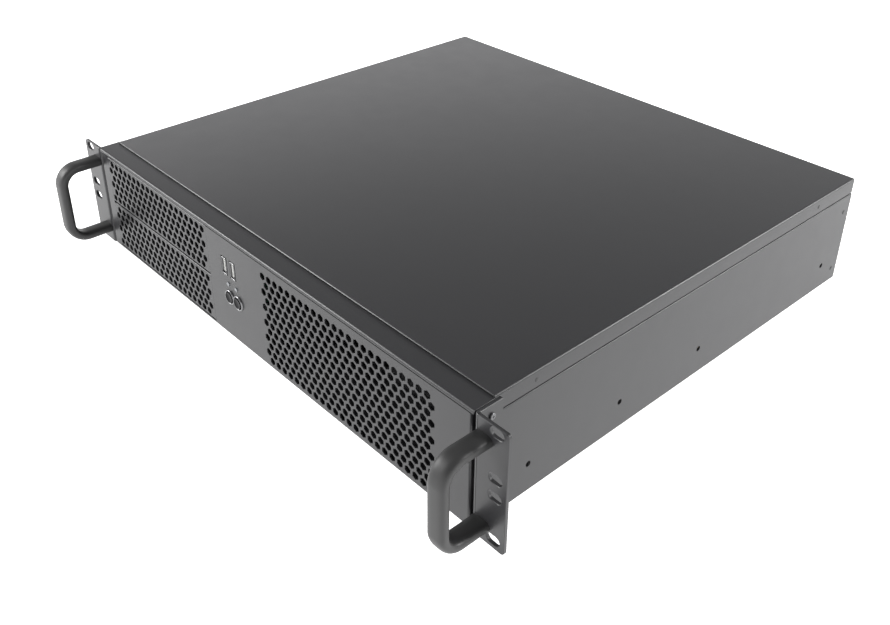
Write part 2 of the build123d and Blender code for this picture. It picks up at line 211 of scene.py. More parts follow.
def rounded(corners, radius, steps=6):
    """An open line with each inner corner replaced by the arc that touches both of its runs."""
    corners = np.asarray(corners, float)
    line = [corners[:1]]
    for before, corner, after in zip(corners, corners[1:], corners[2:]):
        back, onward = before - corner, after - corner
        back, onward = back / np.linalg.norm(back), onward / np.linalg.norm(onward)
        half_angle = math.acos(float(np.clip(back @ onward, -1, 1))) / 2
        bisector = (back + onward) / np.linalg.norm(back + onward)
        centre = corner + bisector * radius / math.sin(half_angle)
        first = corner + back * radius / math.tan(half_angle)
        last = corner + onward * radius / math.tan(half_angle)
        turn = np.linspace(0, 1, steps + 1)[:, None]
        chord = (first - centre) * (1 - turn) + (last - centre) * turn
        line.append(centre + radius * chord / np.linalg.norm(chord, axis=1, keepdims=True))
    line.append(corners[-1:])
    return np.concatenate(line)


def anticlockwise(loop):
    """The loop, turned round where its area, half the sum of x dy - y dx, is negative."""
    onward = np.roll(loop, -1, 0)
    area = np.sum(loop[:, 0] * onward[:, 1] - loop[:, 1] * onward[:, 0])
    return loop if area > 0 else loop[::-1]


def moved_left(line, amount, closed=True):
    """Each point moved to the left of its direction of travel, along the mean of its two runs' normals,
    far enough that both runs shift by the amount."""
    before = np.roll(line, 1, 0) if closed else np.concatenate((line[:1] * 2 - line[1:2], line[:-1]))
    after = np.roll(line, -1, 0) if closed else np.concatenate((line[1:], line[-1:] * 2 - line[-2:-1]))
    a, b = line - before, after - line
    a = a / np.linalg.norm(a, axis=1, keepdims=True)
    b = b / np.linalg.norm(b, axis=1, keepdims=True)
    na, nb = np.stack((-a[:, 1], a[:, 0]), 1), np.stack((-b[:, 1], b[:, 0]), 1)
    share = 1 + np.sum(na * nb, 1, keepdims=True)
    return line + amount * (na + nb) / np.maximum(share, 0.2)


def folded_section(corners, radius=BEND, thickness=SHEET, steps=6):
    """A folded sheet's closed section: its outer line, then the same line moved left by the thickness, back."""
    outer = rounded(corners, radius, steps)
    inner = moved_left(outer, thickness, closed=False)
    return anticlockwise(np.concatenate((outer, inner[::-1])))


def oblong(width, height, steps=10):
    """A closed line, anticlockwise: two half circles joined by straight runs, lying along the first axis."""
    radius = height / 2
    reach = width / 2 - radius
    return np.concatenate((arc((reach, 0), radius, -90, 90, steps), arc((-reach, 0), radius, 90, 270, steps)))


def rectangle(low, high, radius=0.0, steps=4):
    """A closed rectangle, anticlockwise, with rounded corners where a radius is given."""
    (u0, v0), (u1, v1) = low, high
    if radius <= 0:
        return np.array(((u0, v0), (u1, v0), (u1, v1), (u0, v1)))
    r = radius
    return np.concatenate((
        arc((u1 - r, v0 + r), r, -90, 0, steps), arc((u1 - r, v1 - r), r, 0, 90, steps),
        arc((u0 + r, v1 - r), r, 90, 180, steps), arc((u0 + r, v0 + r), r, 180, 270, steps),
    ))


def circle(radius, steps=24):
    """A closed circle, anticlockwise."""
    return arc((0, 0), radius, 0, 360, steps)[:-1]


def hexagon(across):
    """A regular hexagon, anticlockwise, that stands on a corner: six points of a circle of across / sqrt 3."""
    return arc((0, 0), across / math.sqrt(3), 90, 450, 6)[:-1]


def copies(loop, centres):
    """The same loop at each centre, as a list of loops."""
    return list(loop[None] + np.asarray(centres, float)[:, None])


def staggered(first, pitch, row_pitch, columns, rows, shift=0.5):
    """Centres of a honeycomb field: rows go down from the first, every second one shifted by part of a pitch."""
    column, row = np.meshgrid(np.arange(columns), np.arange(rows))
    u = first[0] + pitch * (column + shift * (row % 2))
    v = first[1] - row_pitch * row
    return np.stack((u.ravel(), v.ravel()), 1)


# Surfaces


def grid_quads(rows, columns, wrap=False):
    """Faces of a grid of points stored row by row, joined round along each row where wrap is true."""
    index = np.arange(rows * columns).reshape(rows, columns)
    onward = np.roll(index, -1, 1) if wrap else index[:, 1:]
    here = index if wrap else index[:, :-1]
    quads = np.stack((here[:-1], onward[:-1], onward[1:], here[1:]), -1)
    return quads.reshape(-1, 4)


def joined(*parts):
    """Several surfaces, each of points and faces, as one."""
    points, faces, start = [], [], 0
    for part_points, part_faces in parts:
        points.append(part_points)
        faces.extend([tuple(int(i) + start for i in face) for face in part_faces])
        start += len(part_points)
    return np.concatenate(points), faces


def carried(section, u_axis, v_axis, start, end, edge=EDGE):
    """A closed section carried straight from start to end. The point at s along the way is
    start + s (end - start) + a u_axis + b v_axis, and the section shrinks by the edge at both ends."""
    start, end = np.asarray(start, float), np.asarray(end, float)
    way = (end - start) / np.linalg.norm(end - start)
    section = anticlockwise(section)
    small = moved_left(section, edge)
    rings = []
    for loop, place in ((small, start), (section, start + edge * way), (section, end - edge * way), (small, end)):
        rings.append(place + loop[:, :1] * u_axis + loop[:, 1:] * v_axis)
    count = len(section)
    faces = [tuple(q) for q in grid_quads(4, count, wrap=True)]
    faces.append(tuple(range(count))[::-1])
    faces.append(tuple(range(3 * count, 4 * count)))
    if np.cross(u_axis, v_axis) @ way < 0:
        faces = [face[::-1] for face in faces]
    return np.concatenate(rings), faces


def pierced(outer, holes, origin, u_axis, v_axis, thickness=SHEET, edge=EDGE, outer_edge=None):
    """A flat sheet with holes. Its face lies at origin + a u_axis + b v_axis, its back one thickness behind,
    and every rim has four rings of points: face, edge, edge, back. Both flats are triangulated between them."""
    outer_edge = edge if outer_edge is None else outer_edge
    loops = [np.asarray(outer, float)] + [np.asarray(hole, float)[::-1] for hole in holes]
    edges = [outer_edge] + [edge] * len(holes)
    true = np.concatenate(loops)
    inset = np.concatenate([moved_left(loop, c) if c else loop for loop, c in zip(loops, edges)])
    depth = np.concatenate([np.full(len(loop), c) for loop, c in zip(loops, edges)])[:, None]
    u_axis, v_axis = np.asarray(u_axis, float), np.asarray(v_axis, float)
    normal = np.cross(u_axis, v_axis)
    face = origin + inset[:, :1] * u_axis + inset[:, 1:] * v_axis
    full = origin + true[:, :1] * u_axis + true[:, 1:] * v_axis
    points = np.concatenate((face, full - depth * normal, full - (thickness - depth) * normal,
                             face - thickness * normal))
    lengths = [len(loop) for loop in loops]
    starts = np.cumsum([0] + lengths[:-1])
    onward = np.concatenate([s + (np.arange(n) + 1) % n for s, n in zip(starts, lengths)])
    here = np.arange(len(true))
    borders = [list(range(s, s + n)) for s, n in zip(starts, lengths)]
    found = delaunay_2d_cdt([Vector(p) for p in inset], [], borders, 2, 1e-9)
    if not all(found[3]):
        raise ValueError("Two holes cross, or one crosses the rim")
    number = np.array([ids[0] for ids in found[3]])
    flat = [tuple(int(number[i]) for i in triangle) for triangle in found[2]]
    count = len(true)
    faces = list(flat)
    faces += [tuple(i + 3 * count for i in triangle[::-1]) for triangle in flat]
    for ring in range(3):
        a, b = here + ring * count, onward + ring * count
        faces += [tuple(q) for q in np.stack((a, a + count, b + count, b), 1)]
    return points, faces


def turned_shape(profile, origin, axis, steps=24):
    """A solid of revolution: each (radius, height) of the profile swept round the axis through origin.
    The profile starts and ends on the axis, and runs so that the sum of r squared times dh is positive."""
    axis = np.asarray(axis, float)
    side = np.cross(axis, AXIS_Z if abs(axis[2]) < 0.9 else AXIS_X)
    side = side / np.linalg.norm(side)
    other = np.cross(axis, side)
    profile = np.asarray(profile, float)
    middle = (profile[1:, 0] + profile[:-1, 0]) / 2
    if np.sum(middle**2 * np.diff(profile[:, 1])) < 0:
        profile = profile[::-1]
    angle = np.linspace(0, 2 * np.pi, steps, endpoint=False)
    around = np.cos(angle)[:, None] * side + np.sin(angle)[:, None] * other
    rings = (origin + profile[1:-1, None, :1] * around[None] + profile[1:-1, None, 1:] * axis).reshape(-1, 3)
    ends = np.stack((origin + profile[0, 1] * axis, origin + profile[-1, 1] * axis))
    rows = len(profile) - 2
    faces = [tuple(q) for q in grid_quads(rows, steps, wrap=True)]
    first, last = rows * steps, rows * steps + 1
    faces += [(first, (i + 1) % steps, i) for i in range(steps)]
    base = (rows - 1) * steps
    faces += [(last, base + i, base + (i + 1) % steps) for i in range(steps)]
    return np.concatenate((rings, ends)), faces


def hoop(profile, origin, axis, steps=32):
    """A ring: a closed profile of (radius, height) swept round the axis through origin."""
    axis = np.asarray(axis, float)
    side = np.cross(axis, AXIS_Z if abs(axis[2]) < 0.9 else AXIS_X)
    side = side / np.linalg.norm(side)
    other = np.cross(axis, side)
    profile = anticlockwise(np.asarray(profile, float))
    angle = np.linspace(0, 2 * np.pi, steps, endpoint=False)
    around = np.cos(angle)[:, None] * side + np.sin(angle)[:, None] * other
    rings = origin + profile[:, None, :1] * around[None] + profile[:, None, 1:] * axis
    index = np.arange(rings.shape[0] * steps).reshape(-1, steps)
    below, onward = np.roll(index, -1, 0), np.roll(index, -1, 1)
    quads = np.stack((index, onward, np.roll(onward, -1, 0), below), -1).reshape(-1, 4)
    return rings.reshape(-1, 3), [tuple(q) for q in quads]


def crossed_screw(radius, height, origin, axis, steps=48):
    """A round head with a cross recess. The head's ring i lies at (radius_i, height_i), and in the recess the
    radius also follows the angle: it is scaled by 0.3 + 0.7 |cos 2a| to the power 6."""
    origin, axis = np.asarray(origin, float), np.asarray(axis, float)
    side = np.cross(axis, AXIS_Z)
    other = np.cross(axis, side)
    angle = np.linspace(0, 2 * np.pi, steps, endpoint=False)
    star = 0.3 + 0.7 * np.abs(np.cos(2 * angle)) ** 6
    round_rings = np.array((
        (1.0, 0.0), (1.0, 0.45), (0.93, 0.74), (0.78, 0.93), (0.6, 1.0),
    )) * (radius, height)
    cross_rings = np.array(((0.52, 0.97), (0.5, 0.9), (0.36, 0.35))) * (radius, height)
    reach = np.concatenate((round_rings[:, :1] * np.ones(steps), cross_rings[:, :1] * star))
    level = np.concatenate((round_rings[:, 1], cross_rings[:, 1]))[:, None]
    around = np.cos(angle)[:, None] * side + np.sin(angle)[:, None] * other
    rings = origin + reach[..., None] * around[None] + level[..., None] * axis
    faces = [tuple(q) for q in grid_quads(len(reach), steps, wrap=True)]
    last = (len(reach) - 1) * steps
    centre = len(reach) * steps
    faces += [(centre, last + i, last + (i + 1) % steps) for i in range(steps)]
    faces.append(tuple(range(steps))[::-1])
    middle = origin + axis * height * 0.3
    return np.concatenate((rings.reshape(-1, 3), middle[None])), faces


def rivet(radius, height):
    """The profile of a low rounded head: (radius, height) points from its top to its seat."""
    return (
        (0, height), (radius * 0.5, height * 0.95), (radius * 0.85, height * 0.65), (radius, 0),
        (radius, -0.0002), (0, -0.0002),
    )


def bar_along(section, path, side_axis):
    """A closed section carried along a flat curved path. At each point of the path the section's first
    axis is the side axis, and its second is the path's direction turned a quarter about it."""
    section = anticlockwise(section)
    ahead = np.gradient(path, axis=0)
    ahead[0], ahead[-1] = path[1] - path[0], path[-1] - path[-2]
    ahead = ahead / np.linalg.norm(ahead, axis=1, keepdims=True)
    across = np.cross(ahead, side_axis)
    rings = path[:, None] + section[None, :, :1] * side_axis + section[None, :, 1:] * across[:, None]
    rows, columns = rings.shape[:2]
    faces = [tuple(q) for q in grid_quads(rows, columns, wrap=True)]
    faces.append(tuple(range(columns))[::-1])
    faces.append(tuple(range((rows - 1) * columns, rows * columns)))
    return rings.reshape(-1, 3), faces


def make_piece(name, surface, body, material, replaced=(), smooth=32):
    """A mesh object from points and faces, smooth over bends and sharp at edges, riding on its body."""
    points, faces = surface
    mesh = bpy.data.meshes.new(name)
    mesh.from_pydata(points.tolist(), [], faces)
    mesh.validate()
    mesh.shade_smooth()
    mesh.set_sharp_from_angle(angle=math.radians(smooth))
    mesh.materials.append(material)
    piece = bpy.data.objects.new(name, mesh)
    bpy.context.scene.collection.objects.link(piece)
    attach(piece, body)
    if replaced:
        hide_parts(*replaced)
    return piece


# Finishes


def finish(name):
    """A new material with its nodes, links and main shader."""
    material = bpy.data.materials.get(name)
    if material is not None:
        return material, None, None, None
    material = bpy.data.materials.new(name)
    material.use_nodes = True
    tree = material.node_tree
    return material, tree.nodes, tree.links, tree.nodes["Principled BSDF"]


def grain(nodes, links, scale, detail=2.0, roughness=0.5):
    """Noise on object coordinates, so that the grain keeps its real size."""
    place = nodes.new("ShaderNodeTexCoord")
    noise = nodes.new("ShaderNodeTexNoise")
    noise.inputs["Scale"].default_value = scale
    noise.inputs["Detail"].default_value = detail
    noise.inputs["Roughness"].default_value = roughness
    links.new(place.outputs["Object"], noise.inputs["Vector"])
    return noise.outputs["Fac"]


def ranged(nodes, links, value, low, high):
    """A value from 0 to 1 laid between two others."""
    spread = nodes.new("ShaderNodeMapRange")
    spread.inputs["To Min"].default_value = low
    spread.inputs["To Max"].default_value = high
    links.new(value, spread.inputs["Value"])
    return spread.outputs["Result"]


def tinted(nodes, links, value, dark, light):
    """A colour between two others, chosen by a value."""
    mix = nodes.new("ShaderNodeMix")
    mix.data_type = "RGBA"
    mix.inputs["A"].default_value = (*dark, 1)
    mix.inputs["B"].default_value = (*light, 1)
    links.new(value, mix.inputs["Factor"])
    return mix.outputs["Result"]


def bumped(nodes, links, shader, height, distance, strength=1.0):
    """Small relief from a height."""
    bump = nodes.new("ShaderNodeBump")
    bump.inputs["Distance"].default_value = distance
    bump.inputs["Strength"].default_value = strength
    links.new(height, bump.inputs["Height"])
    links.new(bump.outputs["Normal"], shader.inputs["Normal"])


def powder_coat():
    """Fine textured black powder coat: a tight orange peel, with slightly uneven gloss and tone."""
    colours = bpy.context.scene.case_colours
    material, nodes, links, shader = finish("powder_coat")
    if nodes is None:
        return material
    base = np.array(colours.coat)
    patches = grain(nodes, links, 9.0, 3.0)
    tone = tinted(nodes, links, patches, base * 0.93, base * 1.07)
    links.new(tone, shader.inputs["Base Color"])
    gloss = ranged(nodes, links, grain(nodes, links, 60.0, 4.0), colours.coat_roughness - 0.03,
                   colours.coat_roughness + 0.03)
    links.new(gloss, shader.inputs["Roughness"])
    bumped(nodes, links, shader, grain(nodes, links, 1700.0, 2.0, 0.55), 0.00003, 0.35)
    return material


def smooth_paint():
    """Smooth semi-gloss black paint on the handles."""
    colours = bpy.context.scene.case_colours
    material, nodes, links, shader = finish("handle_paint")
    if nodes is None:
        return material
    base = np.array(colours.handle)
    links.new(tinted(nodes, links, grain(nodes, links, 40.0), base * 0.85, base * 1.15), shader.inputs["Base Color"])
    gloss = ranged(nodes, links, grain(nodes, links, 90.0, 3.0), colours.handle_roughness - 0.04,
                   colours.handle_roughness + 0.04)
    links.new(gloss, shader.inputs["Roughness"])
    shader.inputs["Specular IOR Level"].default_value = 0.24
    bumped(nodes, links, shader, grain(nodes, links, 700.0), 0.00002, 0.15)
    return material


def moulded(name, colour, roughness, grain_scale=900.0, shine=0.5):
    """Moulded plastic with a faint grain."""
    material, nodes, links, shader = finish(name)
    if nodes is None:
        return material
    base = np.array(colour)
    links.new(tinted(nodes, links, grain(nodes, links, 120.0), base * 0.9, base * 1.1), shader.inputs["Base Color"])
    gloss = ranged(nodes, links, grain(nodes, links, 200.0), roughness - 0.04, roughness + 0.04)
    links.new(gloss, shader.inputs["Roughness"])
    bumped(nodes, links, shader, grain(nodes, links, grain_scale), 0.00001, 0.2)
    shader.inputs["Specular IOR Level"].default_value = shine
    return material


def plated(name, colour, roughness):
    """Plated metal with uneven gloss."""
    material, nodes, links, shader = finish(name)
    if nodes is None:
        return material
    shader.inputs["Metallic"].default_value = 1.0
    base = np.array(colour)
    links.new(tinted(nodes, links, grain(nodes, links, 150.0), base * 0.85, base), shader.inputs["Base Color"])
    gloss = ranged(nodes, links, grain(nodes, links, 400.0, 4.0), roughness - 0.08, roughness + 0.08)
    links.new(gloss, shader.inputs["Roughness"])
    return material


def clear_lamp():
    """Clear moulded lamp, unlit."""
    material, nodes, links, shader = finish("lamp_lens")
    if nodes is None:
        return material
    shader.inputs["Transmission Weight"].default_value = 0.6
    shader.inputs["IOR"].default_value = 1.49
    base = np.array((0.5, 0.52, 0.55))
    links.new(tinted(nodes, links, grain(nodes, links, 300.0), base * 0.9, base), shader.inputs["Base Color"])
    links.new(ranged(nodes, links, grain(nodes, links, 500.0), 0.12, 0.22), shader.inputs["Roughness"])
    return material


def plated_steel():
    """Bright zinc-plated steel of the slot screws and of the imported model's bright pieces."""
    return plated("bright_steel", (0.72, 0.72, 0.74), 0.3)


def blackened_steel():
    """Black oxide steel of the case screws."""
    return plated("blackened_steel", (0.16, 0.16, 0.165), 0.32)


def looks():
    """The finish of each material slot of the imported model."""
    return {
        "case_paint": powder_coat(),
        "handle_paint": smooth_paint(),
        "standoff_brass": plated("standoff_brass", (0.72, 0.52, 0.25), 0.35),
        "bright_steel": plated_steel(),
        "board": moulded("solder_mask", (0.01, 0.08, 0.04), 0.35),
        "socket_plastic": moulded("socket_tongue", (0.5, 0.5, 0.48), 0.4),
        "button_plastic": moulded("button_black", (0.008, 0.008, 0.009), 0.25, shine=0.05),
        "lamp_plastic": clear_lamp(),
    }


# Operators: one for each piece or group of like pieces, and one for the stage


def lip_foot():
    """Height of the lower edge of the cover's rear lip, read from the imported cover's points at its back."""
    mesh = frame["nodes"]["top_cover"].data
    points = np.zeros(len(mesh.vertices) * 3)
    mesh.vertices.foreach_get("co", points)
    points = points.reshape(-1, 3)
    back = points[points[:, 1] > COVER_HIGH[1] - SHEET / 2]
    return float(back[:, 2].min())


class CASE_OT_cover(bpy.types.Operator):
    """The sliding cover: a wide channel with soft bends and a lip down the back"""

    bl_idname = "rackcase.cover"
    bl_label = "Top cover"

    def execute(self, context):
        low, high = COVER_LOW, COVER_HIGH
        foot = low[2] + 0.0004
        corners = ((high[0], foot), (high[0], high[2]), (low[0], high[2]), (low[0], foot))
        section = folded_section(corners)
        channel = carried(section, AXIS_X, AXIS_Z, (0, low[1], 0), (0, high[1] - SHEET, 0), 0.0004)
        lip_low = lip_foot()
        seats = copies(circle(0.0026), [(-x, LIP_LEVEL) for x in LIP_SCREWS])
        lip = pierced(
            rectangle((low[0] + SHEET, lip_low), (high[0] - SHEET, high[2] - SHEET), 0.0008), seats,
            np.array((0, high[1], 0)), -AXIS_X, AXIS_Z,
        )
        make_piece("cover_sheet", joined(channel, lip), COVER_BODY, powder_coat(), ["top_cover"])
        return {"FINISHED"}


class CASE_OT_front_strip(bpy.types.Operator):
    """The strip across the top behind the front plate, with its bright front bend"""

    bl_idname = "rackcase.front_strip"
    bl_label = "Front strip"

    def execute(self, context):
        low, high = STRIP_LOW, STRIP_HIGH
        top = COVER_HIGH[2] - SHEET - 0.00005
        corners = ((high[1], top), (low[1], top), (low[1], low[2]))
        section = folded_section(corners, 0.0019)
        strip = carried(section, AXIS_Y, AXIS_Z, (low[0], 0, 0), (high[0], 0, 0))
        make_piece("front_strip", strip, CASE_BODY, powder_coat(), ["front_brace"])
        return {"FINISHED"}


class CASE_OT_rivets(bpy.types.Operator):
    """Small dark rivets: two on each flange of the cover, two at the back of each side"""

    bl_idname = "rackcase.rivets"
    bl_label = "Rivets"

    def execute(self, context):
        lug_low, lug_high = span("cover_lugs")
        ends = (lug_low[1] + 0.0018, lug_high[1] - 0.0018)
        dots = [
            turned_shape(
                rivet(0.0017, 0.0003), np.array((side * COVER_HIGH[0], y, FLANGE_RIVET_LEVEL)), side * AXIS_X
            )
            for side in (1, -1) for y in ends
        ]
        make_piece("flange_rivets", joined(*dots), COVER_BODY, smooth_paint())
        dots = [
            turned_shape(rivet(0.0019, 0.0004), np.array((side * PAN_HIGH[0], SIDE_RIVET_Y, z)), side * AXIS_X)
            for side in (1, -1) for z in SIDE_RIVET_LEVELS
        ]
        make_piece("side_rivets", joined(*dots), CASE_BODY, smooth_paint())
        return {"FINISHED"}


class CASE_OT_screws(bpy.types.Operator):
    """Screws with cross recesses: in the ears' legs, behind the handles, in the slot covers and the cover's lip"""

    bl_idname = "rackcase.screws"
    bl_label = "Screws"

    def execute(self, context):
        leg_x = EAR_LOW[0] + EAR_SHEET
        ears = [
            crossed_screw(0.0022, 0.0013, (side * leg_x, EAR_SCREW_Y, z), side * AXIS_X)
            for side in (1, -1) for z in EAR_SCREW_LEVELS
        ]
        make_piece("ear_screws", joined(*ears), CASE_BODY, blackened_steel(), smooth=40)
        low, high = span("handles")
        centre = (high[0] - low[0]) / 2 - HANDLE_HALF_WIDTH
        backs = [
            crossed_screw(0.0035, 0.0016, (side * centre, FRONT_Y + EAR_SHEET, z), AXIS_Y)
            for side in (1, -1) for z in (low[2] + 0.0039, high[2] - 0.0039)
        ]
        make_piece("handle_screws", joined(*backs), CASE_BODY, blackened_steel(), smooth=40)
        slots = []
        for number in range(1, SLOT_COVERS + 1):
            low, high = span(f"slot_cover_{number}")
            place = ((low[0] + high[0]) / 2, REAR_Y, high[2] - 0.0035)
            slots.append(crossed_screw(0.0026, 0.0012, place, AXIS_Y))
        make_piece("slot_screws", joined(*slots), CASE_BODY, plated_steel(), smooth=40)
        lid = [crossed_screw(0.0022, 0.0009, (x, COVER_HIGH[1] - 0.0011, LIP_LEVEL), AXIS_Y) for x in LIP_SCREWS]
        make_piece("lid_screws", joined(*lid), COVER_BODY, blackened_steel(), smooth=40)
        return {"FINISHED"}


class CASE_OT_controls(bpy.types.Operator):
    """The sockets' shells, and the buttons' caps with their plated rings"""

    bl_idname = "rackcase.controls"
    bl_label = "Controls"

    def execute(self, context):
        for side in ("left", "right"):
            low, high = span(f"usb_port_{side}")
            wall = SOCKET_WALL
            outer = rectangle((low[0], low[2]), (high[0], high[2]), 0.0006)
            inner = rectangle((low[0] + wall, low[2] + wall), (high[0] - wall, high[2] - wall), 0.0003)
            shell = pierced(outer, [inner], np.array((0, low[1], 0)), AXIS_X, AXIS_Z, high[1] - low[1], 0.00012)
            back = pierced(inner, [], np.array((0, high[1] - 0.0006, 0)), AXIS_X, AXIS_Z, 0.0005, 0)
            make_piece(f"socket_shell_{side}", joined(shell, back), CASE_BODY,
                       plated("socket_steel", (0.22, 0.22, 0.225), 0.35), [f"usb_port_{side}"])
        rings = []
        for name in ("power_button", "reset_button"):
            low, high = span(name)
            x, z = (low[0] + high[0]) / 2, (low[2] + high[2]) / 2
            radius, collar, length = BUTTON_RADIUS, high[0] - x, high[1] - low[1]
            collar_start = FRONT_Y + SHEET + 0.0004 - low[1]
            collar_end = FRONT_Y + SHEET + 0.0012 - low[1]
            profile = (
                (0, 0.0004), (radius * 0.55, 0.00034), (radius * 0.84, 0.00008), (radius * 0.93, 0),
                (radius * 0.985, 0.00016), (radius, 0.0005), (radius, collar_start), (collar, collar_start),
                (collar, collar_end), (BUTTON_STEM, collar_end), (BUTTON_STEM, length), (0, length),
            )
            cap = turned_shape(profile, np.array((x, low[1], z)), AXIS_Y, 40)
            make_piece(f"{name}_cap", cap, name, looks()["button_plastic"], [name], 40)
            turn = np.radians(np.arange(0, 360, 24))
            lip = np.stack((radius + 0.0010 + 0.0007 * np.cos(turn), 0.0001 + 0.0011 * np.sin(turn)), 1)
            rings.append(hoop(lip, np.array((x, FRONT_Y, z)), -AXIS_Y, 40))
        ring_steel = plated("ring_steel", (0.22, 0.22, 0.225), 0.32)
        make_piece("button_rings", joined(*rings), CASE_BODY, ring_steel)
        return {"FINISHED"}


def field_right(sizes):
    """The right grille's hexagons in the front plate."""
    centres = staggered(RIGHT_FIELD_START, sizes.grille_pitch, sizes.grille_row, *RIGHT_FIELD)
    return copies(hexagon(sizes.grille_hole), centres)


class CASE_OT_front_plate(bpy.types.Operator):
    """The perforated front plate, open at the bays, with its windows and folded ends"""

    bl_idname = "rackcase.front_plate"
    bl_label = "Front plate"

    def execute(self, context):
        sizes = context.scene.case_sizes
        low, high = PLATE_LOW, PLATE_HIGH
        bay_left, bay_right = BAY_LOW[0] - 0.0001, BAY_HIGH[0] + 0.0001
        bay_bottom = BAY_LOW[2] - 0.0003
        left, right = low[0] + BEND, high[0] - BEND
        outline = np.array((
            (left, low[2]), (right, low[2]), (right, high[2]), (bay_right, high[2]),
            (bay_right, bay_bottom), (bay_left, bay_bottom), (bay_left, high[2]), (left, high[2]),
        ))
        holes = field_right(sizes)
        for side in ("left", "right"):
            port_low, port_high = span(f"usb_port_{side}")
            gap = SOCKET_GAP
            corners = (port_low[0] - gap, port_low[2] - gap), (port_high[0] + gap, port_high[2] + gap)
            holes.append(rectangle(*corners, 0.0005))
        lamp_low, lamp_high = span("lamps")
        lamp = LAMP_RADIUS
        lamp_places = [(x, lamp_low[2] + lamp) for x in (lamp_low[0] + lamp, lamp_high[0] - lamp)]
        holes += copies(circle(lamp + 0.0002, 16), lamp_places)
        for name in ("power_button", "reset_button"):
            cap_low, cap_high = span(name)
            middle = [((cap_low[0] + cap_high[0]) / 2, (cap_low[2] + cap_high[2]) / 2)]
            holes += copies(circle(BUTTON_RADIUS + 0.0004, 40), middle)
        plate = pierced(outline, holes, np.array((0, FRONT_Y, 0)), AXIS_X, AXIS_Z, outer_edge=0)
        fold = folded_section(((right, FRONT_Y), (high[0], FRONT_Y), (high[0], high[1])), BEND - 0.00001)
        points, faces = carried(fold, AXIS_X, AXIS_Y, (0, 0, low[2]), (0, 0, high[2]), 0.0001)
        mirrored = points * (-1, 1, 1), [face[::-1] for face in faces]
        make_piece("front_plate", joined(plate, (points, faces), mirrored), CASE_BODY, powder_coat(),
                   ["front_panel"])
        return {"FINISHED"}


class CASE_OT_bay_covers(bpy.types.Operator):
    """The two perforated bay covers, with bends along their upper and lower edges"""

    bl_idname = "rackcase.bay_covers"
    bl_label = "Bay covers"

    def execute(self, context):
        sizes = context.scene.case_sizes
        bend = BAY_BEND
        for name, low, high in (("lower", BAY_LOW, BAY_HIGH), ("upper", UPPER_LOW, UPPER_HIGH)):
            middle = (low[2] + high[2]) / 2
            row_pitch = sizes.grille_row - 0.00007
            first = (BAY_FIELD_START, middle + 2.5 * row_pitch)
            centres = staggered(first, sizes.grille_pitch, row_pitch, *BAY_FIELD, -0.5)
            holes = copies(hexagon(sizes.grille_hole - 0.0001), centres)
            outline = rectangle((low[0], low[2] + bend), (high[0], high[2] - bend))
            plate = pierced(outline, holes, np.array((0, FRONT_Y, 0)), AXIS_X, AXIS_Z, outer_edge=0)
            depth = high[1] - low[1]
            fold = folded_section(((0, bend), (0, 0), (depth, 0)), bend - 0.00001, steps=8)
            folds = [
                carried(section, AXIS_Y, AXIS_Z, (low[0], FRONT_Y, z), (high[0], FRONT_Y, z))
                for section, z in ((fold, low[2]), (fold[::-1] * (1, -1), high[2]))
            ]
            make_piece(f"bay_grille_{name}", joined(plate, *folds), CASE_BODY,
                       powder_coat(), [f"bay_cover_{name}"])
        return {"FINISHED"}


class CASE_OT_ears(bpy.types.Operator):
    """The rack ears: thick folded angles with slots"""

    bl_idname = "rackcase.ears"
    bl_label = "Rack ears"

    def execute(self, context):
        thick, bend = EAR_SHEET, EAR_BEND
        low, high = EAR_LOW, EAR_HIGH
        slots = copies(oblong(0.0105, 0.0066), [(0.23255, z) for z in (0.00635, 0.0381, 0.0508, 0.08255)])
        corner = 0.0025
        outline = np.concatenate((
            [(low[0] + bend, low[2])],
            arc((high[0] - corner, low[2] + corner), corner, -90, 0, 6),
            arc((high[0] - corner, high[2] - corner), corner, 0, 90, 6),
            [(low[0] + bend, high[2])],
        ))
        flange = pierced(outline, slots, np.array((0, FRONT_Y, 0)), AXIS_X, AXIS_Z, thick, EAR_EDGE)
        for side, name in ((1, "right"), (-1, "left")):
            leg = folded_section(
                ((low[0], high[1]), (low[0], FRONT_Y), (low[0] + bend, FRONT_Y)), bend - 0.00001, thick, 8
            )
            angle = carried(leg, AXIS_X, AXIS_Y, (0, 0, low[2]), (0, 0, high[2]), EAR_EDGE)
            points, faces = joined(flange, angle)
            if side < 0:
                points = points * (-1, 1, 1)
                faces = [face[::-1] for face in faces]
            make_piece(f"rack_ear_{name}", (points, faces), CASE_BODY, powder_coat(), [f"ear_{name}"])
        return {"FINISHED"}


class CASE_OT_handles(bpy.types.Operator):
    """The handles: a flattened bar bent to a U"""

    bl_idname = "rackcase.handles"
    bl_label = "Handles"

    def execute(self, context):
        sizes = context.scene.case_sizes
        turn = np.linspace(0, 2 * np.pi, 48, endpoint=False)
        power = 2 / 2.9
        section = np.stack((
            sizes.handle_width / 2 * np.sign(np.cos(turn)) * np.abs(np.cos(turn)) ** power,
            sizes.handle_thickness / 2 * np.sign(np.sin(turn)) * np.abs(np.sin(turn)) ** power,
        ), 1)
        low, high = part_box("handles")
        level = (low[2] + high[2]) / 2 - 0.0004
        top, bottom = level + sizes.handle_spacing / 2, level - sizes.handle_spacing / 2
        out = FRONT_Y - sizes.handle_reach
        flat = rounded(((FRONT_Y, top), (out, top), (out, bottom), (FRONT_Y, bottom)), sizes.handle_bend, 20)
        centre = high[0] - 0.0071
        bars = []
        for side in (1, -1):
            path = np.stack((np.full(len(flat), side * centre), flat[:, 0], flat[:, 1]), 1)
            bars.append(bar_along(section, path, AXIS_X))
        make_piece("grab_handles", joined(*bars), CASE_BODY, smooth_paint(), ["handles"], 50)
        return {"FINISHED"}


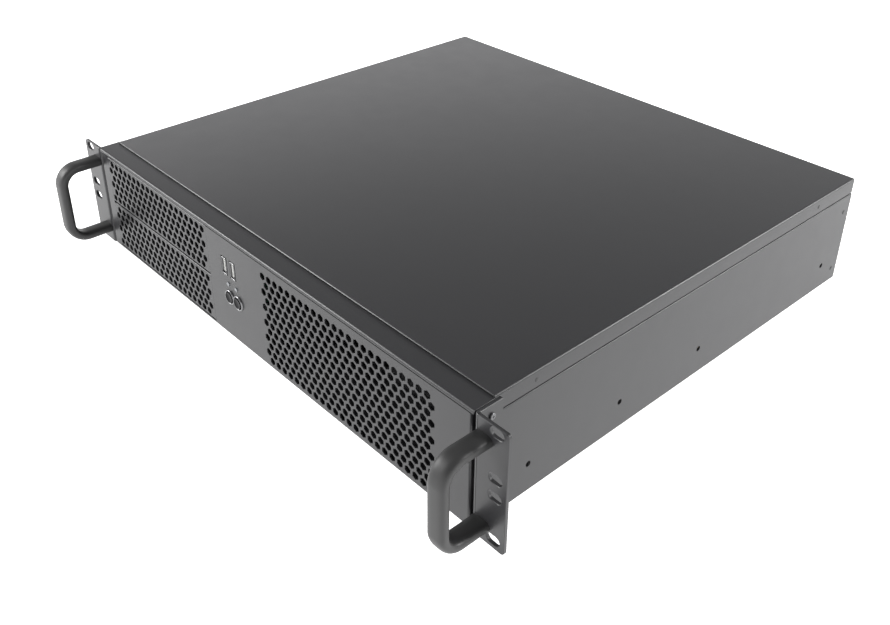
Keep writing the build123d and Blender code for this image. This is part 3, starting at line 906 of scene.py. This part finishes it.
class CASE_OT_packed_finishes(bpy.types.Operator):
    """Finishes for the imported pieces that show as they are"""

    bl_idname = "rackcase.packed_finishes"
    bl_label = "Packed pieces"

    def execute(self, context):
        by_slot = looks()
        slots = {row["node"]: row["material_slot"] for row in frame["record"]["subparts"]}
        for node, piece in frame["nodes"].items():
            piece.data.materials.clear()
            piece.data.materials.append(by_slot[slots[node]])
        return {"FINISHED"}


# Camera: fitted to the photograph around the case's set sizes, in metres and degrees
CAMERA_PLACE = (0.51224, -0.49639, 0.43912)
CAMERA_AZIMUTH = 47.630
CAMERA_ELEVATION = 29.476
CAMERA_ROLL = 0.313
FOCAL_PIXELS = 1022.28
CENTRE_PIXEL = (439.33, 220.52)
PICTURE = (890, 625)
SENSOR = 36.0


def studio_surround(strength):
    """Brightest a little above the horizon and grey overhead, so that the top darkens towards the viewer:
    the brightness follows the sine of the height angle."""
    world = bpy.data.worlds.new("surround")
    world.use_nodes = True
    nodes, links = world.node_tree.nodes, world.node_tree.links
    place = nodes.new("ShaderNodeTexCoord")
    parts = nodes.new("ShaderNodeSeparateXYZ")
    ramp = nodes.new("ShaderNodeValToRGB")
    ramp.color_ramp.interpolation = "EASE"
    for spot, (height, tone) in enumerate(((0.0, 0.7), (0.26, 1.25), (0.48, 0.13), (1.0, 0.30))):
        element = ramp.color_ramp.elements[spot] if spot < 2 else ramp.color_ramp.elements.new(height)
        element.position = height
        element.color = (tone, tone, tone * 1.01, 1)
    links.new(place.outputs["Generated"], parts.inputs["Vector"])
    links.new(parts.outputs["Z"], ramp.inputs["Fac"])
    background = nodes["Background"]
    links.new(ramp.outputs["Color"], background.inputs["Color"])
    background.inputs["Strength"].default_value = strength
    return world


def soft_panel(name, toward, distance, size, power):
    """A rectangular light in the given direction, turned to the case."""
    data = bpy.data.lights.new(name, "AREA")
    data.shape = "RECTANGLE"
    data.size, data.size_y = size
    data.energy = power
    panel = bpy.data.objects.new(name, data)
    panel.matrix_world = Matrix.Translation(toward.normalized() * distance) @ (
        toward.to_track_quat("Z", "Y").to_matrix().to_4x4()
    )
    bpy.context.scene.collection.objects.link(panel)


class CASE_OT_stage(bpy.types.Operator):
    """Camera, floor and soft light"""

    bl_idname = "rackcase.stage"
    bl_label = "Studio"

    def execute(self, context):
        scene = context.scene
        azimuth, elevation = math.radians(CAMERA_AZIMUTH), math.radians(CAMERA_ELEVATION)
        ahead = Vector((
            -math.sin(azimuth) * math.cos(elevation), math.cos(azimuth) * math.cos(elevation), -math.sin(elevation)
        ))
        level = Vector((math.cos(azimuth), math.sin(azimuth), 0))
        upright = level.cross(ahead)
        roll = math.radians(CAMERA_ROLL)
        right = level * math.cos(roll) + upright * math.sin(roll)
        up = right.cross(ahead)
        turn = Matrix((right, up, -ahead)).transposed().to_4x4()
        data = bpy.data.cameras.new("camera")
        data.sensor_width = SENSOR
        data.lens = FOCAL_PIXELS / PICTURE[0] * SENSOR
        data.shift_x = (PICTURE[0] / 2 - CENTRE_PIXEL[0]) / PICTURE[0]
        data.shift_y = -(PICTURE[1] / 2 - CENTRE_PIXEL[1]) / PICTURE[0]
        data.clip_end = 50
        camera = bpy.data.objects.new("camera", data)
        camera.matrix_world = Matrix.Translation(CAMERA_PLACE) @ turn
        scene.collection.objects.link(camera)
        scene.camera = camera

        light = scene.studio_light
        scene.world = studio_surround(light.sky)
        scene.view_settings.view_transform = "Standard"
        for name, toward, distance, size, power in (
            ("right_rear_panel", (0.60, 0.66, 0.47), 2.6, (0.55, 0.9), light.side),
            ("left_front_panel", (-0.68, -0.56, 0.48), 2.6, (0.9, 0.9), light.front),
        ):
            soft_panel(name, Vector(toward), distance, size, power)

        mesh = bpy.data.meshes.new("floor")
        reach = 30.0
        mesh.from_pydata([(-reach, -reach, 0), (reach, -reach, 0), (reach, reach, 0), (-reach, reach, 0)], [],
                         [(0, 1, 2, 3)])
        floor = bpy.data.objects.new("floor", mesh)
        scene.collection.objects.link(floor)
        material, nodes, links, shader = finish("studio_floor")
        shader.inputs["Base Color"].default_value = (0.9, 0.9, 0.9, 1)
        shader.inputs["Roughness"].default_value = 0.9
        shader.inputs["Specular IOR Level"].default_value = 0.0
        shader.inputs["Emission Color"].default_value = (1, 1, 1, 1)
        shader.inputs["Emission Strength"].default_value = light.floor
        mesh.materials.append(material)
        return {"FINISHED"}


class CASE_PT_panel(bpy.types.Panel):
    """The case's pieces and sizes"""

    bl_idname = "CASE_PT_panel"
    bl_label = "Rack Case"
    bl_space_type = "VIEW_3D"
    bl_region_type = "UI"
    bl_category = "Rack Case"

    def draw(self, context):
        for group in (context.scene.case_sizes, context.scene.case_colours, context.scene.studio_light):
            box = self.layout.box()
            for name in group.bl_rna.properties.keys():
                if name not in ("rna_type", "name"):
                    box.prop(group, name)
        for operator in OPERATORS:
            self.layout.operator(operator.bl_idname)


GROUPS = (("case_sizes", CaseSizes), ("case_colours", CaseColours), ("studio_light", StudioLight))
OPERATORS = (
    CASE_OT_packed_finishes, CASE_OT_cover, CASE_OT_front_strip, CASE_OT_front_plate, CASE_OT_bay_covers,
    CASE_OT_ears, CASE_OT_handles, CASE_OT_controls, CASE_OT_screws, CASE_OT_rivets, CASE_OT_stage,
)


def register():
    """Makes the groups, operators and panel known to Blender."""
    for name, group in GROUPS:
        bpy.utils.register_class(group)
        setattr(bpy.types.Scene, name, bpy.props.PointerProperty(type=group))
    for operator in OPERATORS:
        bpy.utils.register_class(operator)
    bpy.utils.register_class(CASE_PT_panel)


def unregister():
    """Takes them away again."""
    bpy.utils.unregister_class(CASE_PT_panel)
    for operator in reversed(OPERATORS):
        bpy.utils.unregister_class(operator)
    for name, group in reversed(GROUPS):
        delattr(bpy.types.Scene, name)
        bpy.utils.unregister_class(group)


def main():
    """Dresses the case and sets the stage."""
    register()
    for operator in OPERATORS:
        family, action = operator.bl_idname.split(".")
        getattr(getattr(bpy.ops, family), action)()


if __name__ == "__main__":
    main()
